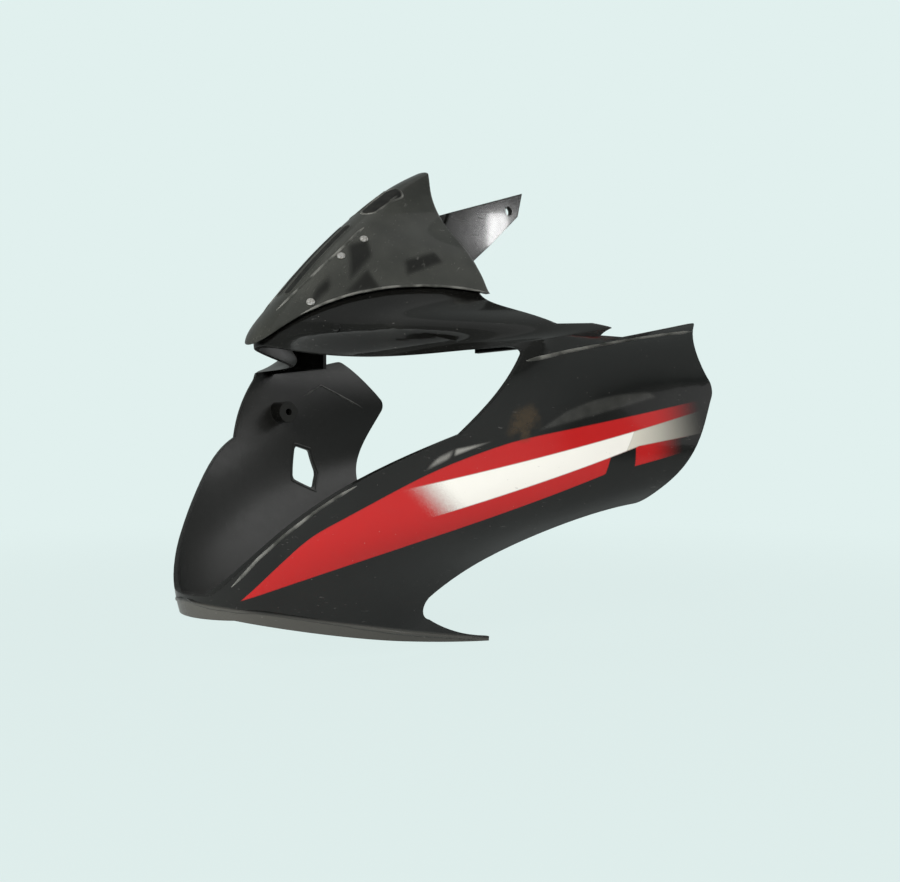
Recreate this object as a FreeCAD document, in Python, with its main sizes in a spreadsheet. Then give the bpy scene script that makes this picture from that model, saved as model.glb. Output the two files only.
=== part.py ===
import FreeCAD, Part
import math
import os
import Sketcher

# Headlight visor of a small motorbike: a moulded cowl with a raked headlamp opening between two side
# panels, and a windscreen seated on its brow. The origin is midway between the two headlamp bosses,
# the front is -Y, the rider's left is +X and up is +Z. Sizes are in millimetres.

doc = FreeCAD.newDocument("headlight_visor")
sheet = doc.addObject("Spreadsheet::Sheet", "sizes")

# The skin is drawn in plan at level stations, all pitched up to the rear by the rake of the crease
# that runs from the headlamp opening to the ears. Each station has the front of its nose, the nose
# radius, the half width where the nose ends, the point where the cheek turns into the side, and the
# half width at the rear plane. The lower stations end, and the upper ones begin, at the crease.
STATION_SIZES = ("nose", "nose_radius", "nose_half", "cheek_half", "cheek_at", "rear_half")
STATIONS = {
    "keel": (-108, 30.2, 28, 47, 0, 50),
    "hook": (-117, 32.4, 30, 52, -20, 70),
    "chin": (-129, 37.8, 34, 72, -17, 112),
    "jaw": (-133, 49.8, 40, 84, -46, 151),
    "flank": (-131.5, 64.6, 48, 94, -46, 147),
    "belt": (-122, 140, 48, 109.5, -46, 149),
    "crease": (-91, 14, 12, 77, -36, 150),
    "brow": (-90, 14, 12, 54, -38, 106),
    "ledge": (-87.5, 13, 10.6, 44, -26, 70),
    "seat": (-72, 14, 11.9, 50, 16, 72),
    "pane": (-56, 14, 11.9, 36.5, 18.4, 48),
    "upper": (-37.5, 12, 11.4, 21, 20, 24),
    "peak": (-16.5, 8, 7.9, 10.5, 25, 11),
    "tip": (12, 5, 4.95, 6.5, 42, 7),
    "crown": (62, 3, 2.95, 4, 80, 4.5),
}
CREASE = list(STATIONS).index("crease")

# Corners of the cowl in side view, as distances along Y and Z, in order round the outline.
COWL_CORNERS = {
    "brow_front": (-110, 34),
    "opening_corner": (-16, 25),
    "rim_knee": (-43, -17),
    "rim_end": (-125, -93),
    "lip_front": (-150, -99),
    "chin_front": (-150, -105),
    "chin_bottom": (-117, -105),
    "hook_tip": (31, -131.5),
    "hook_end": (31, -129),
    "hook_root": (-18, -113),
    "notch_top": (-24, -100),
    "lower_rear": (69, -52.5),
    "rear_corner": (109, 9),
    "ear_tip": (74, 40.5),
    "ear_waist": (31, 30.8),
    "ear_root": (15, 30.5),
    "step_top": (12.5, 36.5),
    "shoulder_foot": (4.5, 37),
    "seat_rear": (15, 71),
    "seat_front": (-84, 50),
    "seat_nose": (-110, 40),
}
# Arcs of that outline by the corner where they start: positive radii turn left.
COWL_ARCS = {
    "brow_front": 230,
    "rim_knee": 170,
    "chin_bottom": 900,
    "hook_end": -150,
    "hook_root": -9,
    "notch_top": -135,
    "seat_rear": 100,
}
COWL_ROUNDS = {"opening_corner": 2.5, "rear_corner": 7, "ear_tip": 4, "lower_rear": 9}

# Corners of the windscreen in the same view. Above its rear edge and ahead of its ridge the outline
# runs clear of the skin.
SCREEN_CORNERS = {
    "screen_tip": (-100, 22),
    "screen_corner": (14, 59),
    "screen_top": (21, 137),
    "screen_above": (21, 160),
    "screen_ahead": (-130, 160),
    "screen_front": (-130, 22),
}
SCREEN_ARCS = {"screen_tip": -117}

# Stays that reach back from the brow behind the windscreen, in the same view.
STAY_CORNERS = {
    "stay_root": (-51.5, 57),
    "stay_foot": (-60.5, 47.3),
    "stay_under": (42, 85),
    "stay_heel": (58, 98),
    "stay_end": (82, 119),
    "stay_tip": (86, 134),
    "stay_top": (25, 112),
    "stay_neck": (17, 95),
}

# Cable opening through the right panel, in the same view, with the rounding of its corners.
PORT_CORNERS = {
    "port_front": (13.5, -22),
    "port_top": (29, -25.5),
    "port_rear": (34.5, -41),
    "port_low": (26, -51.5),
    "port_foot": (8, -44),
}
PORT_ROUNDS = {"port_front": 3, "port_top": 3, "port_rear": 6, "port_low": 4, "port_foot": 3}

# Bosses, stays, return walls, the levels of the stations, and the walls of both mouldings.
SINGLE_SIZES = {
    "boss_radius": 7,
    "boss_face": 106,
    "pilot_radius": 2.2,
    "pilot_depth": 12,
    "stay_spread": 42,
    "stay_wall": 3,
    "stay_hole_radius": 2.75,
    "stay_hole_inset": 8,
    "stay_hole_rise": 2,
    "return_foot": 26,
    "return_gap": 68,
    "return_inset": 1.6,
    "height_limit": 180,
    "rake": 12,
    "crease_level": 30,
    "lower_step": 28,
    "upper_step": 14.25,
    "rear_plane": 124,
    "wall": 2.6,
    "screen_wall": 3.0,
    "seat_gap": 0.4,
    "cutter_width": 400,
}


def all_sizes():
    """Every driving dimension by the name of its cell."""
    table = dict(SINGLE_SIZES)
    for station, values in STATIONS.items():
        for size, value in zip(STATION_SIZES, values):
            table[f"{station}_{size}"] = value
    for corners in (COWL_CORNERS, SCREEN_CORNERS, STAY_CORNERS, PORT_CORNERS):
        for corner, (along, height) in corners.items():
            table[f"{corner}_along"] = along
            table[f"{corner}_height"] = height
    for arcs in (COWL_ARCS, SCREEN_ARCS):
        for corner, radius in arcs.items():
            table[f"{corner}_sweep"] = abs(radius)
    for rounds in (COWL_ROUNDS, PORT_ROUNDS):
        for corner, radius in rounds.items():
            table[f"{corner}_round"] = radius
    return table


SIZE = all_sizes()
for row, (alias, value) in enumerate(SIZE.items(), start=1):
    sheet.set(f"A{row}", alias)
    sheet.set(f"B{row}", str(value))
    sheet.setAlias(f"B{row}", alias)
doc.recompute()

# Points of a sketch's edge, and the sketch's own origin and upright axis.
START, END, CENTRE = 1, 2, 3
ORIGIN, UP = -1, -2


def bind(sketch, kind, *references, to, datum):
    """A dimension of a sketch, tied to the sheet."""
    index = sketch.addConstraint(Sketcher.Constraint(kind, *references, datum))
    sketch.renameConstraint(index, f"size_{index}")
    sketch.setExpression(f"Constraints.size_{index}", to)


def bind_point(sketch, edge, end, along, across, point):
    bind(sketch, "DistanceX", ORIGIN, START, edge, end, to=along, datum=point.x)
    bind(sketch, "DistanceY", ORIGIN, START, edge, end, to=across, datum=point.y)


def arc_between(first, last, centre):
    """The shorter arc from first to last, with the ends under which the sketch knows them."""
    begin = math.atan2(first.y - centre.y, first.x - centre.x)
    finish = math.atan2(last.y - centre.y, last.x - centre.x)
    circle = Part.Circle(centre, FreeCAD.Vector(0, 0, 1), first.distanceToPoint(centre))
    if (finish - begin) % (2 * math.pi) < math.pi:
        return Part.ArcOfCircle(circle, begin, finish), START, END
    return Part.ArcOfCircle(circle, finish, begin), END, START


def tangent_arc(first, heading, last):
    """The arc that leaves first along heading and ends at last, and its heading there."""
    chord = last - first
    turn = math.atan2(chord.y, chord.x) - heading
    radius = chord.Length / (2 * math.sin(turn))
    left = FreeCAD.Vector(-math.sin(heading), math.cos(heading), 0)
    return first + left * radius, heading + 2 * turn


def plan_station(name, steps):
    """One plan section of the skin: nose arc, cheek and side arcs on both hands, and a rear line."""
    value = {size: SIZE[f"{name}_{size}"] for size in STATION_SIZES}
    cell = {size: f"sizes.{name}_{size}" for size in STATION_SIZES}
    sketch = doc.addObject("Sketcher::SketchObject", f"{name}_station")
    step = "sizes.lower_step" if steps < 0 else "sizes.upper_step"
    pitch = FreeCAD.Rotation(FreeCAD.Vector(1, 0, 0), SIZE["rake"])
    sketch.Placement = FreeCAD.Placement(FreeCAD.Vector(), pitch)
    sketch.setExpression("Placement.Rotation.Angle", "sizes.rake")
    sketch.setExpression("Placement.Base.z", f"sizes.crease_level + {steps} * {step}")
    radius = value["nose_radius"]
    half_turn = math.asin(value["nose_half"] / radius)
    centre = FreeCAD.Vector(0, value["nose"] + radius, 0)
    front = -math.pi / 2
    nose_circle = Part.Circle(centre, FreeCAD.Vector(0, 0, 1), radius)
    nose_arc = Part.ArcOfCircle(nose_circle, front - half_turn, front + half_turn)
    nose = sketch.addGeometry(nose_arc)
    sketch.addConstraint(Sketcher.Constraint("PointOnObject", nose, CENTRE, UP))
    bind(sketch, "Radius", nose, to=cell["nose_radius"], datum=radius)
    bind(sketch, "DistanceY", ORIGIN, START, nose, CENTRE,
         to=f"{cell['nose']} + {cell['nose_radius']}", datum=centre.y)
    rear_ends = []
    for side, nose_end in ((1, END), (-1, START)):
        sign = "" if side > 0 else "-"
        joint = FreeCAD.Vector(side * value["nose_half"], centre.y - radius * math.cos(half_turn), 0)
        heading = half_turn if side > 0 else math.pi - half_turn
        bind(sketch, "DistanceX", ORIGIN, START, nose, nose_end,
             to=f"{sign}{cell['nose_half']}", datum=joint.x)
        last_edge, last_end = nose, nose_end
        for half, along in (("cheek_half", "cheek_at"), ("rear_half", None)):
            along_cell = cell[along] if along else "sizes.rear_plane"
            along_value = value[along] if along else SIZE["rear_plane"]
            point = FreeCAD.Vector(side * value[half], along_value, 0)
            arc_centre, heading = tangent_arc(joint, heading, point)
            arc, near, far = arc_between(joint, point, arc_centre)
            edge = sketch.addGeometry(arc)
            sketch.addConstraint(Sketcher.Constraint("Tangent", last_edge, last_end, edge, near))
            bind_point(sketch, edge, far, f"{sign}{cell[half]}", along_cell, point)
            joint, last_edge, last_end = point, edge, far
        rear_ends.append((last_edge, last_end, joint))
    rear = sketch.addGeometry(Part.LineSegment(rear_ends[0][2], rear_ends[1][2]))
    sketch.addConstraint(Sketcher.Constraint("Coincident", rear, START, *rear_ends[0][:2]))
    sketch.addConstraint(Sketcher.Constraint("Coincident", rear, END, *rear_ends[1][:2]))
    return sketch


def skin_loft(name, through, offset=None):
    """The solid inside the skin, with every station moved outward by an offset from the sheet."""
    sections = through
    if offset:
        sections = []
        for station in through:
            moved = doc.addObject("Part::Offset2D", f"{name}_{station.Name}")
            moved.Source = station
            moved.setExpression("Value", offset)
            sections.append(moved)
    loft = doc.addObject("Part::Loft", name)
    loft.Sections = sections
    loft.Solid = True
    loft.MaxDegree = 3
    return loft


def side_view(name, corners, arcs=(), rounds=(), width="sizes.cutter_width"):
    """A block across the visor whose side view is the outline through the named corners."""
    body = doc.addObject("PartDesign::Body", name)
    plane = next(item for item in body.Origin.OriginFeatures if item.Role == "YZ_Plane")
    sketch = body.newObject("Sketcher::SketchObject", f"{name}_outline")
    sketch.AttachmentSupport = [(plane, "")]
    sketch.MapMode = "FlatFace"
    names = list(corners)
    points = [FreeCAD.Vector(SIZE[f"{corner}_along"], SIZE[f"{corner}_height"], 0) for corner in names]
    ends = []
    for corner, first, last in zip(names, points, points[1:] + points[:1]):
        if corner in arcs:
            radius = math.copysign(SIZE[f"{corner}_sweep"], arcs[corner])
            chord = last - first
            left = FreeCAD.Vector(-chord.y, chord.x, 0).normalize()
            reach = math.sqrt(radius ** 2 - (chord.Length / 2) ** 2)
            centre = (first + last) / 2 + left * math.copysign(reach, radius)
            arc, near, far = arc_between(first, last, centre)
            edge = sketch.addGeometry(arc)
            bind(sketch, "Radius", edge, to=f"sizes.{corner}_sweep", datum=abs(radius))
        else:
            edge, near, far = sketch.addGeometry(Part.LineSegment(first, last)), START, END
        bind_point(sketch, edge, near, f"sizes.{corner}_along", f"sizes.{corner}_height", first)
        ends.append((edge, near, far))
    for (edge, _, far), (after, near, _) in zip(ends, ends[1:] + ends[:1]):
        sketch.addConstraint(Sketcher.Constraint("Coincident", edge, far, after, near))
    block = body.newObject("PartDesign::Pad", f"{name}_block")
    block.Profile = sketch
    block.SideType = "Symmetric"
    block.setExpression("Length", width)
    doc.recompute()
    for corner in rounds:
        edge = edge_at(block.Shape, SIZE[f"{corner}_along"], SIZE[f"{corner}_height"])
        fillet = body.newObject("PartDesign::Fillet", f"{corner}_rounding")
        fillet.Base = (block, [edge])
        fillet.setExpression("Radius", f"sizes.{corner}_round")
        doc.recompute()
        block = fillet
    return body


def edge_at(shape, along, height):
    """The name of the edge across the block at one corner of its outline."""
    for number, edge in enumerate(shape.Edges, start=1):
        middle = edge.CenterOfMass
        if abs(middle.x) + math.hypot(middle.y - along, middle.z - height) < 1e-3:
            return f"Edge{number}"
    raise ValueError(f"no edge at {along}, {height}")


def boolean(kind, name, base, tool):
    result = doc.addObject(f"Part::{kind}", name)
    result.Base = base
    result.Tool = tool
    return result


def cross_box(name, width, front, depth, foot, height):
    """A box centred on the middle plane, from cells for its sizes."""
    box = doc.addObject("Part::Box", name)
    box.setExpression("Length", width)
    box.setExpression("Width", depth)
    box.setExpression("Height", height)
    box.setExpression("Placement.Base.x", f"-({width}) / 2")
    box.setExpression("Placement.Base.y", front)
    box.setExpression("Placement.Base.z", foot)
    return box


def cross_bar(name, radius, width, along=None, height=None):
    """A round bar along X, centred on the middle plane."""
    bar = doc.addObject("Part::Cylinder", name)
    bar.Placement = FreeCAD.Placement(FreeCAD.Vector(), FreeCAD.Rotation(FreeCAD.Vector(0, 1, 0), 90))
    bar.setExpression("Radius", radius)
    bar.setExpression("Height", width)
    bar.setExpression("Placement.Base.x", f"-({width}) / 2")
    if along:
        bar.setExpression("Placement.Base.y", along)
    if height:
        bar.setExpression("Placement.Base.z", height)
    return bar


stations = [plan_station(name, place - CREASE) for place, name in enumerate(STATIONS)]
lower_stations = stations[:CREASE + 1]
upper_stations = stations[CREASE:]

cowl_view = side_view("cowl_view", COWL_CORNERS, COWL_ARCS, COWL_ROUNDS)
# Both halves of the shell, and the block inside the middle of its wall that roots what stands on it.
rooted = {}
members = []
for half, through in (("lower", lower_stations), ("upper", upper_stations)):
    outside = skin_loft(f"{half}_outside", through)
    inside = skin_loft(f"{half}_inside", through, "-sizes.wall")
    rooted[half] = skin_loft(f"{half}_rooted", through, "-sizes.wall / 2")
    trimmed = boolean("Common", f"{half}_trimmed", outside, cowl_view)
    members.append(boolean("Cut", f"{half}_shell", trimmed, inside))

# Headlamp bosses: stubs that stand inward from both side panels on one axis, rooted in the wall.
boss_bar = boolean("Common", "boss_bar", cross_bar("boss_round", "sizes.boss_radius", "sizes.cutter_width"),
                   rooted["lower"])
between_bosses = cross_box("between_bosses", "2 * sizes.boss_face", "-2 * sizes.boss_radius",
                           "4 * sizes.boss_radius", "-2 * sizes.boss_radius", "4 * sizes.boss_radius")
members.append(boolean("Cut", "bosses", boss_bar, between_bosses))

# Return wall under the rear edge of each shoulder, above and below the crease.
return_slab = cross_box("return_slab", "sizes.cutter_width",
                        "sizes.shoulder_foot_along - sizes.return_inset - sizes.wall",
                        "sizes.wall", "sizes.return_foot", "sizes.height_limit")
return_middle = cross_box("return_middle", "2 * sizes.return_gap",
                          "sizes.shoulder_foot_along - sizes.return_inset - 2 * sizes.wall",
                          "3 * sizes.wall", "sizes.return_foot - sizes.wall", "sizes.height_limit")
for half, block in rooted.items():
    return_block = boolean("Common", f"{half}_return_block", block, cowl_view)
    return_wall = boolean("Common", f"{half}_return_wall", return_block, return_slab)
    members.append(boolean("Cut", f"{half}_returns", return_wall, return_middle))

# Stays: a pair of upright plates, rooted on the inner face of the brow and drilled for their bolts.
stay_pair = boolean("Cut", "stay_pair",
                    side_view("stay_outer", STAY_CORNERS, width="sizes.stay_spread + sizes.stay_wall"),
                    cross_box("stay_middle", "sizes.stay_spread - sizes.stay_wall", "-sizes.height_limit",
                              "2 * sizes.height_limit", "-sizes.height_limit", "2 * sizes.height_limit"))
members.append(stay_pair)

# The moulding in one piece, with the holes of the bosses and stays and the cable opening cut through.
joined = doc.addObject("Part::MultiFuse", "joined")
joined.Shapes = members
drilled = boolean("Cut", "drilled", joined,
                  cross_bar("pilot_bar", "sizes.pilot_radius", "2 * (sizes.boss_face + sizes.pilot_depth)"))
bolted = boolean("Cut", "bolted", drilled,
                 cross_bar("stay_hole_bar", "sizes.stay_hole_radius",
                           "sizes.stay_spread + 4 * sizes.stay_wall",
                           "sizes.stay_end_along - sizes.stay_hole_inset",
                           "sizes.stay_end_height + sizes.stay_hole_rise"))
right_half = cross_box("right_half", "sizes.cutter_width", "-sizes.height_limit", "2 * sizes.height_limit",
                       "-sizes.height_limit", "2 * sizes.height_limit")
right_half.setExpression("Placement.Base.x", "-sizes.cutter_width")
port = boolean("Common", "port", side_view("port_view", PORT_CORNERS, rounds=PORT_ROUNDS), right_half)
cowl = boolean("Cut", "cowl", bolted, port)
cowl.Label = "cowl"

# Windscreen: the same skin a seat gap outside the brow, trimmed to its own side view.
screen_view = side_view("screen_view", SCREEN_CORNERS, SCREEN_ARCS)
screen_outside = skin_loft("screen_outside", upper_stations, "sizes.seat_gap + sizes.screen_wall")
screen_inside = skin_loft("screen_inside", upper_stations, "sizes.seat_gap")
screen_block = boolean("Common", "screen_block", screen_outside, screen_view)
windscreen = boolean("Cut", "windscreen", screen_block, screen_inside)
windscreen.Label = "windscreen"

doc.recompute()
for item in doc.Objects:
    if "Invalid" in item.State or "Error" in item.State:
        raise RuntimeError(f"{item.Name} failed: {item.State}")
os.makedirs("parts", exist_ok=True)
for node in (cowl, windscreen):
    if not node.Shape.isValid() or len(node.Shape.Solids) != 1:
        raise RuntimeError(f"{node.Label} has no sound shape")
    node.Shape.exportStep(f"parts/{node.Label}.step")
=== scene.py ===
import math
import bmesh
import bpy
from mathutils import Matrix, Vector
from mathutils.bvhtree import BVHTree


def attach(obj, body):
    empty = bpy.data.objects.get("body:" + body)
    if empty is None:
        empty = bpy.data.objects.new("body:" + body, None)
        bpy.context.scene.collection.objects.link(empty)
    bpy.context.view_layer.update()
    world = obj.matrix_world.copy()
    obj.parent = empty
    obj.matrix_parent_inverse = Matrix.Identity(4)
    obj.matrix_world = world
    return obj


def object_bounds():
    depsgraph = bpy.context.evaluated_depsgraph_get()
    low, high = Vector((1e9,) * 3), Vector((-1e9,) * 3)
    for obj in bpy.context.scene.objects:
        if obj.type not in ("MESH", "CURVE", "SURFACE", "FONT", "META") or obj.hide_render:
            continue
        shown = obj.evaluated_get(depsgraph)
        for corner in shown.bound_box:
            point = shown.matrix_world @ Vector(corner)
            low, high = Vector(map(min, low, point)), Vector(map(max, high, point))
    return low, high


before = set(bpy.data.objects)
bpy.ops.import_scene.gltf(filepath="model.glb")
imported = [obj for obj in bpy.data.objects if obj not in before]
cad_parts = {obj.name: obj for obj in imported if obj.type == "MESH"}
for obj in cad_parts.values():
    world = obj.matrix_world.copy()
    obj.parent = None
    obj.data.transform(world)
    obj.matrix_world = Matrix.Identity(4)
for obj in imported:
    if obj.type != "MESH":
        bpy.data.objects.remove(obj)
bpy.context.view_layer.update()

# Cowl: the main moulding of the visor, black ABS from one injection mould, polished outside and
# grained inside. Stripe decals lie on both side panels under the gloss lacquer.
# Two bosses on its inner faces and the stays behind the brow fix it to its mount.
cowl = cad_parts["cowl"]
INNER_BLACK = (0.016, 0.016, 0.0145, 1.0)
LACQUERED_BLACK = (0.0042, 0.0042, 0.0037, 1.0)
CLOUDED_BLACK = (0.011, 0.011, 0.0095, 1.0)
FLANGE_GREY = (0.085, 0.083, 0.073, 1.0)
STRIPE_RED = (0.5, 0.011, 0.011, 1.0)
STRIPE_GREY = (0.72, 0.69, 0.59, 1.0)
STRIPE_WHITE = (0.93, 0.91, 0.84, 1.0)
HAIRLINE_GREY = (0.16, 0.16, 0.15, 1.0)
DUST_GREY = (0.3, 0.29, 0.26, 1.0)
STAIN_BROWN = (0.055, 0.036, 0.017, 1.0)
SCUFF_GLINT_PALE = (0.6, 0.59, 0.54, 1.0)
SHEEN_GREY = (0.055, 0.055, 0.05, 1.0)
# Straight edges in side view, in mm: a place on the edge, its level there and its slope.
RED_TOP = ((-94.7, -65.4, 1.39), (-51.7, -34.7, 0.714), (-18.8, -20.6, 0.43), (-18.8, -20.6, 0.197))
RED_TOP_BLEND = 6.0
RED_FOOT = (0.0, -49.7, 0.391)
RED_END = (-37.0, 33.5, 0.227)
WHITE_TOP = (0.0, -27.7, 0.254)
WHITE_FOOT = ((0.8, -40.1, 0.345), (48.3, -23.0, 0.165))
WHITE_END = (-23.5, 45.3, 0.506)
BLOCK_FOOT = (50.0, -32.7, 0.235)
BLOCK_FRONT = 50.0
FLANGE_TOP = (0.0, -123.8, -0.206)
DECAL_EDGE = 0.4
# Fades of the bands along the visor, in mm: where a band is gone, then where it is full.
RED_FADE = (96.0, 60.0)
GREY_FADE = (98.0, 40.0)
BLOCK_FADE = (80.0, 56.0)
# The white band's front fades on a slant, by the sum of along and height, and its grain breaks it up.
WHITE_FADE = (-104.5, -81.5)
WHITE_FADE_GRAIN = 16.0
# Marks on the left panel in side view, in mm: a stain, a lens-shaped painted reflection above the stripes,
# and two pale scuffs at the edge of the front opening, partly wear and partly painted glints.
STAIN_MIDDLE = (-12.0, -11.5)
STAIN_REACH_SQUARED = (120.0, 8.0)
LONG_SCUFF_GLINT = ((-52.3, -32.8), (-44.6, -28.2), (-44.2, -25.0), (-50.2, -28.4))
SHORT_SCUFF_GLINT = ((-42.4, -26.9), (-30.5, -21.6), (-42.8, -24.2))
SHEEN_LENS = ((-3.1, -14.8), (64.4, 2.9), (61.0, 5.0), (41.6, 3.6), (23.5, -0.3), (9.5, -5.9))
PANEL_MIDDLE = 60.0
COWL_EDGE = 0.0009
RELIEF_DEPTH = 0.0002


class Wire:
    """A socket of a shader. Arithmetic on it adds the nodes that it needs."""

    def __init__(self, tree, socket=None):
        self.tree = tree
        self.socket = socket

    def node(self, kind, settings, inputs, output=0):
        """Any other node: its type, its settings, then its inputs by name or number."""
        made = self.tree.nodes.new(kind)
        for name, value in settings.items():
            setattr(made, name, value)
        for name, value in inputs.items():
            if isinstance(value, Wire):
                self.tree.links.new(made.inputs[name], value.socket)
            else:
                made.inputs[name].default_value = value
        return Wire(self.tree, made.outputs[output])

    def math(self, operation, *others):
        """A Math node that takes this as its first value."""
        return self.node("ShaderNodeMath", {"operation": operation}, dict(enumerate((self, *others))))

    def __add__(self, other):
        return self.math("ADD", other)

    __radd__ = __add__

    def __sub__(self, other):
        return self.math("SUBTRACT", other)

    def __rsub__(self, other):
        return self * -1.0 + other

    def __mul__(self, other):
        return self.math("MULTIPLY", other)

    __rmul__ = __mul__

    def ramp(self, start, end):
        """Smooth from 0 at start to 1 at end."""
        return self.node("ShaderNodeMapRange", {"interpolation_type": "SMOOTHSTEP"},
                         {"Value": self, "From Min": start, "From Max": end})

    def mix(self, low, high):
        """A colour: low where this is 0, high where it is 1."""
        return self.node("ShaderNodeMix", {"data_type": "RGBA"}, {0: self, 6: low, 7: high}, 2)

    def axis(self, name):
        """The X, Y or Z of a point."""
        return self.node("ShaderNodeSeparateXYZ", {}, {0: self}, name)

    def stretch(self, factors):
        """A point scaled along each axis, which draws out the noise that reads it."""
        return self.node("ShaderNodeVectorMath", {"operation": "MULTIPLY"}, {0: self, 1: factors})

    def noise(self, scale, detail):
        return self.node("ShaderNodeTexNoise", {}, {"Vector": self, "Scale": scale, "Detail": detail})

    def specks(self, scale):
        """The distance to the nearest of scattered spots."""
        return self.node("ShaderNodeTexVoronoi", {}, {"Vector": self, "Scale": scale})

    def relief(self, strength, height, edge_radius):
        """A surface normal with rounded edges and fine relief."""
        rounded = self.node("ShaderNodeBevel", {"samples": 6}, {"Radius": edge_radius})
        return self.node("ShaderNodeBump", {}, {"Strength": strength, "Distance": RELIEF_DEPTH,
                                                "Height": height, "Normal": rounded})

    def feed(self, socket):
        self.tree.links.new(socket, self.socket)


def new_material(name):
    """A material, its surface node, and the point on the object in millimetres."""
    material = bpy.data.materials.new(name)
    material.use_nodes = True
    tree = material.node_tree
    spot = Wire(tree).node("ShaderNodeTexCoord", {}, {}, "Object")
    point = spot.node("ShaderNodeVectorMath", {"operation": "SCALE"}, {0: spot, "Scale": 1000.0})
    return material, tree.nodes["Principled BSDF"], point


def edge(run, at, level, slope):
    """The level of a straight edge along its run."""
    return (run - at) * slope + level


def crisp(reach):
    """1 where the reach past a decal's cut edge is above 0."""
    return reach.ramp(-DECAL_EDGE, DECAL_EDGE)


def patch(along, height, corners, soft):
    """1 inside corners that run anticlockwise in side view, fading over a soft edge."""
    inside = 1.0
    for (start, foot), (end, top) in zip(corners, corners[1:] + corners[:1]):
        run, rise = end - start, top - foot
        length = math.hypot(run, rise)
        reach = (height - foot) * (run / length) - (along - start) * (rise / length)
        inside = reach.ramp(-soft, soft) * inside
    return inside


def dress(piece, material):
    piece.data.materials.clear()
    piece.data.materials.append(material)


black_plastic, surface, point = new_material("black_moulding")
across, along, height = (point.axis(name) for name in "XYZ")
facing = point.node("ShaderNodeNewGeometry", {}, {}, "True Normal")
facing_across = facing.axis("X")
# Faces that look away from the visor's middle are outer, and those that look sideways are panel.
outer = (facing_across * across + facing.axis("Y") * (along - PANEL_MIDDLE)).ramp(-6.0, 6.0)
panel = (facing_across * across.math("SIGN")).ramp(0.3, 0.45)

grain = point.noise(3.2, 1.0)
red_top = edge(along, *RED_TOP[0])
for line in RED_TOP[1:]:
    red_top = red_top.math("SMOOTH_MIN", edge(along, *line), RED_TOP_BLEND)
white_foot = edge(along, *WHITE_FOOT[0]).math("MINIMUM", edge(along, *WHITE_FOOT[1]))
below_white = crisp(white_foot - height)
past_white = crisp(along - edge(height, *WHITE_END))
past_red = crisp(along - edge(height, *RED_END))
white_band = crisp(edge(along, *WHITE_TOP) - height) * crisp(height - white_foot)
white_band = white_band * (along + height + (grain - 0.5) * WHITE_FADE_GRAIN).ramp(*WHITE_FADE)
red = crisp(red_top - height) * crisp(height - edge(along, *RED_FOOT)) * (1.0 - white_band)
red = red * (1.0 - below_white * past_red) * along.ramp(*RED_FADE)
block = below_white * crisp(height - edge(along, *BLOCK_FOOT)) * crisp(along - BLOCK_FRONT)
block = block * along.ramp(*BLOCK_FADE)
red = red.math("MAXIMUM", block) * panel
white = white_band * (1.0 - past_white) * panel
grey = white_band * past_white * along.ramp(*GREY_FADE) * panel

blotches = point.noise(0.035, 4.0)
haze = point.noise(0.16, 5.0)
dust = point.specks(0.33).ramp(0.085, 0.05) * haze.ramp(0.5, 0.62)
scratches = point.stretch((0.5, 0.05, 0.9)).noise(1.3, 3.0)
hairlines = scratches.ramp(0.69, 0.72) * blotches.ramp(0.42, 0.6)
left_outer_side = outer * across.ramp(0.0, 10.0)
off_along, off_height = along - STAIN_MIDDLE[0], height - STAIN_MIDDLE[1]
stain = (off_along * off_along + off_height * off_height).ramp(*STAIN_REACH_SQUARED)
stain = stain * haze.ramp(0.32, 0.66) * left_outer_side
# Pale scuffs at the edge of the front opening: partly wear, partly a painted glint.
scuff_and_glint = patch(along, height, LONG_SCUFF_GLINT, 1.2) * 0.7
scuff_and_glint = scuff_and_glint.math("MAXIMUM", patch(along, height, SHORT_SCUFF_GLINT, 0.9))
scuff_and_glint = scuff_and_glint * (grain * 0.6 + 0.25) * left_outer_side
# Painted reflection: a lens-shaped grey sheen on the left panel above the stripes.
painted_sheen = patch(along, height, SHEEN_LENS, 1.2) * (haze * 0.8 + 0.2) * left_outer_side
flange = (edge(along, *FLANGE_TOP) - height).ramp(-1.0, 1.0) * outer

coloured = outer.mix(INNER_BLACK, LACQUERED_BLACK)
coloured = (blotches.ramp(0.35, 0.75) * 0.5).mix(coloured, CLOUDED_BLACK)
coloured = flange.mix(coloured, FLANGE_GREY)
coloured = red.mix(coloured, STRIPE_RED)
coloured = grey.mix(coloured, STRIPE_GREY)
coloured = white.mix(coloured, STRIPE_WHITE)
coloured = (hairlines * 0.35).mix(coloured, HAIRLINE_GREY)
coloured = (dust * 0.5).mix(coloured, DUST_GREY)
coloured = (stain * 0.8).mix(coloured, STAIN_BROWN)
# Pale scuffs, partly wear and partly painted glints.
coloured = scuff_and_glint.mix(coloured, SCUFF_GLINT_PALE)
# The painted reflection lightens the black above the stripes.
coloured = (painted_sheen * (1.0 - red)).mix(coloured, SHEEN_GREY)
coloured.feed(surface.inputs["Base Color"])
roughness = (1.0 - outer) * 0.28 + 0.1 + haze * 0.1 + dust * 0.3 + hairlines * 0.1
roughness.feed(surface.inputs["Roughness"])
lacquer = outer * 0.45 * (1.0 - dust)
lacquer.feed(surface.inputs["Coat Weight"])
surface.inputs["Coat Roughness"].default_value = 0.05
texture = (1.0 - outer) * grain * 0.5 + haze * 0.35 * outer - hairlines * 0.2
point.relief(0.35, texture, COWL_EDGE).feed(surface.inputs["Normal"])
dress(cowl, black_plastic)

# Windscreen: a thin smoke-grey acrylic moulding, drawn to a pointed ridge in a mould.
# It sits over the brow with its lower edge proud and is held by small screws along its flanks.
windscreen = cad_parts["windscreen"]
SMOKE_DEEP = (0.022, 0.023, 0.019, 1.0)
SMOKE_PALE = (0.036, 0.037, 0.031, 1.0)
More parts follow.
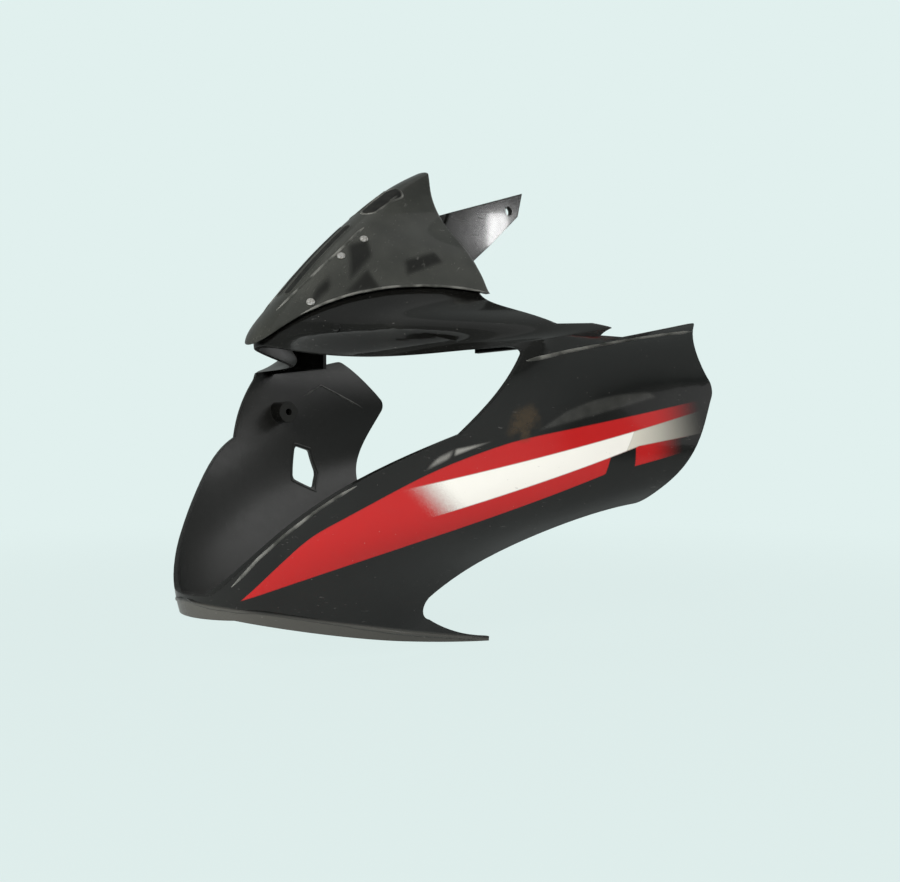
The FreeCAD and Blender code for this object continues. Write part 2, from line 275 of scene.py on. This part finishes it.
# Painted shade colour, for the dark patches on the windscreen and the vent sheets.
PAINTED_SHADE_BLACK = (0.006, 0.006, 0.0055, 1.0)
WIPE_GREY = (0.12, 0.12, 0.11, 1.0)
SCREEN_EDGE = 0.0011
# Patches in side view with painted shade and dark reflection, given a matt finish: one behind, two beside the
# screws and one at the lower edge.
SHADE_PATCHES = (((-21.4, 68.2), (-0.9, 77.0), (-2.2, 83.1), (-19.5, 76.7)),
        ((-48.0, 64.2), (-33.5, 79.2), (-31.7, 88.8), (-41.8, 84.9)),
        ((-68.6, 48.9), (-57.8, 58.9), (-56.4, 66.2), (-65.3, 57.5)),
        ((-52.0, 57.0), (-36.0, 60.0), (-38.7, 70.8)))
SHADE_PATCH_EDGE = 1.7
smoked, surface, point = new_material("smoked_moulding")
along, height = point.axis("Y"), point.axis("Z")
film = point.noise(0.05, 5.0)
wipes = point.stretch((0.9, 0.25, 0.06)).noise(0.8, 3.0).ramp(0.66, 0.72) * film.ramp(0.4, 0.6)
dust = point.specks(0.4).ramp(0.09, 0.05)
shade = 0.0
for shade_patch in SHADE_PATCHES:
    shade = patch(along, height, shade_patch, SHADE_PATCH_EDGE) + shade
tint = film.ramp(0.3, 0.7).mix(SMOKE_DEEP, SMOKE_PALE)
# Painted shade: the patches darken the windscreen's colour.
tint = (shade * 0.85).mix(tint, PAINTED_SHADE_BLACK)
tint = (wipes * 0.5).mix(tint, WIPE_GREY)
tint = (dust * 0.25).mix(tint, DUST_GREY)
tint.feed(surface.inputs["Base Color"])
roughness = film * 0.16 + 0.1 + wipes * 0.15 + dust * 0.3 + shade * 0.3
roughness.feed(surface.inputs["Roughness"])
polish = (1.0 - dust * 0.8) * (1.0 - shade)
polish.feed(surface.inputs["Coat Weight"])
surface.inputs["Coat Roughness"].default_value = 0.04
point.relief(0.25, film - wipes * 0.3, SCREEN_EDGE).feed(surface.inputs["Normal"])
dress(windscreen, smoked)

# Flank beads: raised lines moulded in one with the windscreen, where its ridge turns into the flanks.
# Each bead runs from near the beak to the pocket at the top, one on either hand.
BEAD_LINE = ((-82.6, 46.0), (-69.0, 60.0), (-56.8, 72.1), (-43.0, 84.9), (-34.1, 93.3), (-29.0, 97.3))
FLANK_BEAD = 0.0007
BEAD_STEP = 2.5
BEAD_SIDES = 10
# Shares of a bead's radius: how deep its middle lies, how wide it spreads and how thin it starts, then
# the number of points over which it grows from there.
BEAD_SINK = 0.35
BEAD_SPREAD = 1.3
BEAD_TIP = 0.25
BEAD_TAPER = 4
CLEAR_OF_VISOR = 0.3
HIGHLIGHT_DIM_GREY = (0.04, 0.041, 0.036, 1.0)
HIGHLIGHT_PALE = (0.16, 0.16, 0.145, 1.0)
HANDS = {"left": 1, "right": -1}
depsgraph = bpy.context.evaluated_depsgraph_get()
screen_skin = BVHTree.FromObject(windscreen, depsgraph)


def side_spot(skin, hand, along, height):
    """The outermost spot of a skin at one place in its side view, and the way it faces."""
    start = Vector((hand * CLEAR_OF_VISOR, along / 1000, height / 1000))
    return skin.ray_cast(start, Vector((-hand, 0, 0)))[:2]


def refine(line):
    """The same line with points no further apart than a step."""
    points = []
    for (start, foot), (end, top) in zip(line, line[1:]):
        run, rise = end - start, top - foot
        count = max(1, math.ceil(math.hypot(run, rise) / BEAD_STEP))
        points += [(start + run * i / count, foot + rise * i / count) for i in range(count)]
    return points + [line[-1]]


def place_mesh(name, mesh):
    """The finished mesh as a smooth piece that rides with the visor."""
    bmesh.ops.recalc_face_normals(mesh, faces=mesh.faces)
    data = bpy.data.meshes.new(name)
    mesh.to_mesh(data)
    mesh.free()
    data.polygons.foreach_set("use_smooth", [True] * len(data.polygons))
    piece = bpy.data.objects.new(name, data)
    bpy.context.scene.collection.objects.link(piece)
    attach(piece, "root")
    return piece


def bead(name, spots, radius, closed=False):
    """A rounded bead along spots on a skin, given as places with the way the skin faces."""
    mesh = bmesh.new()
    rings = []
    count = len(spots)
    for i, (spot, facing) in enumerate(spots):
        before = spots[i - 1 if closed else max(i - 1, 0)][0]
        after = spots[(i + 1) % count if closed else min(i + 1, count - 1)][0]
        ahead = (after - before).normalized()
        aside = facing.cross(ahead).normalized()
        taper = 1.0 if closed else min(1.0, BEAD_TIP + min(i, count - 1 - i) / BEAD_TAPER)
        size = radius * taper
        ring = []
        for k in range(BEAD_SIDES):
            turn = 2 * math.pi * k / BEAD_SIDES
            rise = math.sin(turn) * size - radius * BEAD_SINK
            reach = facing * rise + aside * math.cos(turn) * size * BEAD_SPREAD
            ring.append(mesh.verts.new(spot + reach))
        rings.append(ring)
    pairs = list(zip(rings, rings[1:])) + ([(rings[-1], rings[0])] if closed else [])
    for first, second in pairs:
        for k in range(BEAD_SIDES):
            after = (k + 1) % BEAD_SIDES
            mesh.faces.new((first[k], first[after], second[after], second[k]))
    if not closed:
        mesh.faces.new(rings[0][::-1])
        mesh.faces.new(rings[-1])
    return place_mesh(name, mesh)


# Edge highlight: a pale colour painted along the crests of beads, lips, rims and ribs as a highlight.
edge_highlight, surface, point = new_material("painted_edge_highlight")
highlight_mottle = point.noise(0.12, 4.0)
highlight_mottle.ramp(0.35, 0.65).mix(HIGHLIGHT_DIM_GREY, HIGHLIGHT_PALE).feed(surface.inputs["Base Color"])
(highlight_mottle * 0.25 + 0.2).feed(surface.inputs["Roughness"])
# The flank beads are painted pale as a highlight.
for side, hand in HANDS.items():
    spots = [side_spot(screen_skin, hand, *place) for place in refine(BEAD_LINE)]
    dress(bead(f"flank_bead_{side}", spots, FLANK_BEAD), edge_highlight)

# Screen lip: the rolled lower edge of the windscreen, where it stands proud of the brow.
# It is moulded in one with the windscreen, and its crest is painted pale as a highlight.
SCREEN_LIP = 0.0006
LIP_STATIONS = range(-76, 15, 3)
LIP_SEARCH_FROM = 20.0
LIP_SEARCH_STEP = 0.25
LIP_INSET = 0.5


def lower_spot(hand, along):
    """The lowest spot of the windscreen's flank at one station along the visor."""
    level = LIP_SEARCH_FROM
    while side_spot(screen_skin, hand, along, level)[0] is None:
        level += LIP_SEARCH_STEP
    return side_spot(screen_skin, hand, along, level + LIP_INSET)


for side, hand in HANDS.items():
    spots = [lower_spot(hand, along) for along in LIP_STATIONS]
    dress(bead(f"screen_lip_{side}", spots, SCREEN_LIP), edge_highlight)

# Ear, hook and rim beads: raised lines moulded in one with the cowl. One follows the top of each ear from
# the front opening, one stiffens the lower edge from the middle of the chin to the tip of the hook,
# and one runs up the edge of the opening from the chin.
EAR_LINE = ((-19.0, 17.2), (-8.6, 19.6), (4.1, 23.0), (19.9, 26.6), (29.4, 28.5), (42.8, 31.2), (62.4, 34.4),
            (78.0, 36.6))
CHIN_LINE = ((0.0, -95.6), (7.8, -97.3), (16.8, -98.7), (22.5, -99.2))
HOOK_LINE = ((-117.0, -100.2), (-108.1, -101.0), (-89.6, -105.2), (-69.3, -110.0), (-52.7, -114.2),
             (-34.5, -118.5), (-13.5, -122.6), (8.7, -126.7), (24.1, -129.3))
RIM_LINE = ((-120.6, -89.6), (-112.5, -75.3), (-104.5, -65.0), (-94.1, -53.6), (-86.3, -46.2), (-79.0, -40.3))
EAR_BEAD = 0.0009
HOOK_BEAD = 0.0009
RIM_BEAD = 0.0007
cowl_skin = BVHTree.FromObject(cowl, depsgraph)


def chin_spot(hand, across, level):
    """The foremost spot of the cowl at one place in its front view, and the way it faces."""
    start = Vector((hand * across / 1000, -CLEAR_OF_VISOR, level / 1000))
    return cowl_skin.ray_cast(start, Vector((0, 1, 0)))[:2]


# The ear and rim beads are painted pale as a highlight; the hook bead stays black.
for side, hand in HANDS.items():
    spots = [side_spot(cowl_skin, hand, *place) for place in refine(EAR_LINE)]
    dress(bead(f"ear_bead_{side}", spots, EAR_BEAD), edge_highlight)
    spots = [chin_spot(hand, *place) for place in refine(CHIN_LINE)]
    spots += [side_spot(cowl_skin, hand, *place) for place in refine(HOOK_LINE)]
    dress(bead(f"hook_bead_{side}", spots, HOOK_BEAD), black_plastic)
    spots = [side_spot(cowl_skin, hand, *place) for place in refine(RIM_LINE)]
    dress(bead(f"rim_bead_{side}", spots, RIM_BEAD), edge_highlight)

# Ridge vents: a long slot and a rounded pocket on each side of the ridge, moulded into the windscreen.
# Their floors are thin dark sheets laid on the windscreen as painted shade, and the pocket rims are painted
# pale as a highlight.
RIDGE_OUT = Vector((0, -0.741, 0.671))
RIDGE_UP = Vector((0, 0.671, 0.741))
# Each vent in mm: its middle across the ridge, half its width, and its two ends along the ridge.
VENTS = {"slot": (3.6, 2.8, -8.0, 51.0), "pocket": (6.2, 4.8, 62.0, 91.0)}
VENT_TIP = 0.1
VENT_RIM = 0.00055
FLOOR_LIFT = 0.00012
FLOOR_COLUMNS = 6
FLOOR_ROW = 1.5
FLOOR_ROWS_LEAST = 12
RIM_ARC_STEPS = 15
RIM_SIDE_STEPS = 30
PAINTED_SHADE_GREY = (0.016, 0.016, 0.014, 1.0)
# Painted shade for the vents, darker in random mottles.
vent_shade_paint, surface, point = new_material("vent_shade_sheet")
shade_mottle = point.noise(0.25, 4.0)
shade_mottle.ramp(0.3, 0.7).mix(PAINTED_SHADE_BLACK, PAINTED_SHADE_GREY).feed(surface.inputs["Base Color"])
(shade_mottle * 0.3 + 0.35).feed(surface.inputs["Roughness"])


def ridge_spot(across, run):
    """The spot of the windscreen in front of one place on the plane along its ridge."""
    start = (Vector((across, 0, 0)) + RIDGE_UP * run) / 1000 + RIDGE_OUT * CLEAR_OF_VISOR
    return screen_skin.ray_cast(start, -RIDGE_OUT)[:2]


def vent_shade_sheet(name, hand, middle, half, low, high):
    """A thin dark sheet with round ends, laid on the windscreen as painted shade."""
    mesh = bmesh.new()
    rows = []
    count = max(FLOOR_ROWS_LEAST, int((high - low) / FLOOR_ROW))
    for i in range(count + 1):
        run = low + (high - low) * i / count
        end = min(run - low, high - run, half)
        width = max(math.sqrt(half ** 2 - (half - end) ** 2), VENT_TIP)
        row = []
        for k in range(FLOOR_COLUMNS + 1):
            spot, facing = ridge_spot(hand * (middle + width * (2 * k / FLOOR_COLUMNS - 1)), run)
            row.append(mesh.verts.new(spot + facing * FLOOR_LIFT))
        rows.append(row)
    for first, second in zip(rows, rows[1:]):
        for k in range(FLOOR_COLUMNS):
            mesh.faces.new((first[k], first[k + 1], second[k + 1], second[k]))
    return place_mesh(name, mesh)


def vent_outline(middle, half, low, high):
    """Places round a vent: a half-round end and a straight side, then the same again from the other end."""
    places = []
    straight = high - low - 2 * half
    for end, way, first_turn in ((high - half, -1, 0.0), (low + half, 1, math.pi)):
        for i in range(RIM_ARC_STEPS + 1):
            turn = first_turn + math.pi * i / RIM_ARC_STEPS
            places.append((middle + half * math.cos(turn), end + half * math.sin(turn)))
        for i in range(1, RIM_SIDE_STEPS):
            places.append((middle + way * half, end + way * straight * i / RIM_SIDE_STEPS))
    return places


for side, hand in HANDS.items():
    for vent, vent_size in VENTS.items():
        dress(vent_shade_sheet(f"vent_{vent}_floor_{side}", hand, *vent_size), vent_shade_paint)
        spots = [ridge_spot(hand * across, run) for across, run in vent_outline(*vent_size)]
        rim = smoked if vent == "slot" else edge_highlight
        dress(bead(f"vent_{vent}_rim_{side}", spots, VENT_RIM, closed=True), rim)

# Windscreen screws: zinc-plated pan heads with a cross recess, three on each flank.
# They draw the windscreen down on the brow.
SCREW_SPOTS = ((-33.1, 89.0), (-47.3, 78.1), (-68.2, 51.3))
SCREW_RADIUS = 0.0023
SCREW_RISE = 0.0013
# The dome of a head from its top to its rim, as shares of its radius and of its rise.
HEAD_PROFILE = ((0.0, 1.0), (0.3, 0.98), (0.55, 0.9), (0.8, 0.68), (0.95, 0.36), (1.0, 0.0))
HEAD_SIDES = 32
RECESS_ARMS = 4
RECESS_ARM_CORNERS = 3
RECESS_REACH = 0.6
RECESS_DEPTH = 0.45
ZINC_BRIGHT = (0.62, 0.62, 0.6, 1.0)
ZINC_DULL = (0.36, 0.34, 0.3, 1.0)
zinc, surface, point = new_material("zinc_plate")
wear = point.noise(0.9, 4.0)
wear.ramp(0.35, 0.7).mix(ZINC_BRIGHT, ZINC_DULL).feed(surface.inputs["Base Color"])
(wear * 0.3 + 0.18).feed(surface.inputs["Roughness"])
surface.inputs["Metallic"].default_value = 0.6


def pan_head(name, spot, facing, radius, rise, recess=RECESS_DEPTH):
    """A domed head on a skin, with a cross sunk in its top where it is driven by a tool."""
    mesh = bmesh.new()
    aside = facing.cross(Vector((0, 0, 1))).normalized()
    upward = aside.cross(facing)
    rings = []
    for reach, level in HEAD_PROFILE[1:]:
        ring = []
        for k in range(HEAD_SIDES):
            turn = 2 * math.pi * k / HEAD_SIDES
            arm = (k + 1) % (HEAD_SIDES // RECESS_ARMS) < RECESS_ARM_CORNERS
            sunk = recess if arm and reach < RECESS_REACH else 0.0
            out = (aside * math.cos(turn) + upward * math.sin(turn)) * radius * reach
            ring.append(mesh.verts.new(spot + out + facing * rise * (level - sunk)))
        rings.append(ring)
    top = mesh.verts.new(spot + facing * rise * (HEAD_PROFILE[0][1] - recess))
    for k in range(HEAD_SIDES):
        mesh.faces.new((top, rings[0][k], rings[0][(k + 1) % HEAD_SIDES]))
    for first, second in zip(rings, rings[1:]):
        for k in range(HEAD_SIDES):
            after = (k + 1) % HEAD_SIDES
            mesh.faces.new((first[k], second[k], second[after], first[after]))
    mesh.faces.new(rings[-1][::-1])
    return place_mesh(name, mesh)


for side, hand in HANDS.items():
    for number, place in enumerate(SCREW_SPOTS, start=1):
        spot, facing = side_spot(screen_skin, hand, *place)
        screw = pan_head(f"screen_screw_{side}_{number}", spot, facing, SCREW_RADIUS, SCREW_RISE)
        dress(screw, zinc)

# Brow rivets: black snap heads, one on each side of the brow below the windscreen.
# They hold the trim clip behind it.
RIVET_SPOT = (-60.5, 37.7)
RIVET_RADIUS = 0.0024
RIVET_RISE = 0.0011
for side, hand in HANDS.items():
    spot, facing = side_spot(cowl_skin, hand, *RIVET_SPOT)
    rivet = pan_head(f"brow_rivet_{side}", spot, facing, RIVET_RADIUS, RIVET_RISE, recess=0.0)
    dress(rivet, black_plastic)

# Inner ribs: low moulded lines on the inner face of both side panels that bound a raised plate.
# The lip round the cable opening on the right panel is moulded in the same way.
PLATE_LINE = ((23.5, 11.4), (43.8, 20.5), (85.9, 5.5))
PORT_LINE = ((12.5, -20.6), (30.2, -24.2), (36.2, -41.0), (26.6, -53.2), (6.4, -45.0))
PLATE_RIB = 0.0006
CABLE_LIP = 0.0008


def inner_spot(hand, along, height):
    """The spot of one side panel's inner face at a place in side view."""
    start = Vector((0, along / 1000, height / 1000))
    return cowl_skin.ray_cast(start, Vector((hand, 0, 0)))[:2]


# The plate ribs are painted pale as a highlight; the cable lip stays black.
for side, hand in HANDS.items():
    spots = [inner_spot(hand, *place) for place in refine(PLATE_LINE)]
    dress(bead(f"plate_rib_{side}", spots, PLATE_RIB), edge_highlight)
spots = [inner_spot(HANDS["right"], *place) for place in refine(PORT_LINE + PORT_LINE[:1])[:-1]]
dress(bead("cable_lip", spots, CABLE_LIP, closed=True), black_plastic)

# Studio: a pale paper floor under the visor and a pale mint backdrop, with a key light beside the camera
# and soft light from the front, above, the side and behind.
# The camera stands at the photo's viewing angle.
MINT = (0.753, 0.871, 0.855, 1.0)
PAPER = (0.4, 0.42, 0.41, 1.0)
ROOM_GREY = (0.085, 0.085, 0.082, 1.0)
GLOSS_SHARE = 0.1
# The floor shows its shadow near the visor, and fades into the backdrop further off, in mm.
FLOOR_SHARE = 0.94
FLOOR_FADE = (180.0, 900.0)
FLOOR_REACH = 8
IMAGE_WIDTH = 900
IMAGE_SHIFT = 6


def backdrop_share(start, seen):
    """How much of the backdrop a ray shows: the camera, gloss and rays through glass each see a share."""
    camera_ray, gloss_ray, clear_ray = (start.node("ShaderNodeLightPath", {}, {}, f"Is {ray} Ray")
                                        for ray in ("Camera", "Glossy", "Transmission"))
    return camera_ray * seen + gloss_ray * GLOSS_SHARE + clear_ray


floor_mesh = bmesh.new()
bmesh.ops.create_grid(floor_mesh, x_segments=2, y_segments=2, size=FLOOR_REACH)
floor_data = bpy.data.meshes.new("floor")
floor_mesh.to_mesh(floor_data)
floor_mesh.free()
floor = bpy.data.objects.new("floor", floor_data)
floor.location.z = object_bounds()[0].z
bpy.context.scene.collection.objects.link(floor)
paper, surface, point = new_material("floor_paper")
surface.inputs["Base Color"].default_value = PAPER
surface.inputs["Roughness"].default_value = 0.9
distance = point.node("ShaderNodeVectorMath", {"operation": "LENGTH"}, {0: point}, "Value")
seen = distance.ramp(*FLOOR_FADE) * (1.0 - FLOOR_SHARE) + FLOOR_SHARE
glow = point.node("ShaderNodeEmission", {}, {"Color": MINT, "Strength": 1.0})
shown = point.node("ShaderNodeMixShader", {}, {0: backdrop_share(point, seen),
                                               1: Wire(point.tree, surface.outputs[0]), 2: glow})
shown.feed(point.tree.nodes["Material Output"].inputs["Surface"])
floor.data.materials.append(paper)

world = bpy.data.worlds.new("studio")
bpy.context.scene.world = world
world.use_nodes = True
background = world.node_tree.nodes["Background"]
room = backdrop_share(Wire(world.node_tree), 1.0).mix(ROOM_GREY, MINT)
room.feed(background.inputs["Color"])
background.inputs["Strength"].default_value = 1.0


def softbox(name, place, target, width, height, power, gloss=True):
    """An area light at a place, turned to a target, that shows in gloss or not."""
    light = bpy.data.lights.new(name, "AREA")
    light.shape = "RECTANGLE"
    light.size = width
    light.size_y = height
    light.energy = power
    lamp = bpy.data.objects.new(name, light)
    lamp.location = place
    lamp.rotation_euler = (Vector(target) - Vector(place)).to_track_quat("-Z", "Y").to_euler()
    lamp.visible_glossy = gloss
    bpy.context.scene.collection.objects.link(lamp)


softbox("key", (0.62, -0.78, 0.32), (0.03, -0.03, 0), 0.5, 0.4, 11.5, gloss=False)
softbox("front_fill", (-0.35, -0.9, 0.35), (0, 0, 0), 0.4, 0.4, 4, gloss=False)
softbox("overhead", (0.15, -0.15, 1.2), (0, 0, 0), 1.2, 1.2, 0.5)
softbox("side_glow", (1.1, 0.9, 0.5), (0.1, 0.05, 0), 0.9, 0.9, 0.7)
softbox("rear_soft", (-0.1, 1.1, 0.75), (0, 0, 0), 1.0, 0.8, 2.5)
softbox("stay_glare", (0.64, 0.7, 0.31), (0.022, 0.06, 0.115), 0.03, 0.05, 0.12)

camera = bpy.data.cameras.new("camera")
camera.lens = 38.0
camera.sensor_width = 36.0
camera.shift_y = IMAGE_SHIFT / IMAGE_WIDTH
camera.clip_start = 0.01
viewer = bpy.data.objects.new("camera", camera)
viewer.location = (0.4227, -0.3482, -0.023)
viewer.rotation_euler = (math.radians(90), 0, math.radians(47))
bpy.context.scene.collection.objects.link(viewer)
bpy.context.scene.camera = viewer
bpy.context.scene.view_settings.view_transform = "Standard"
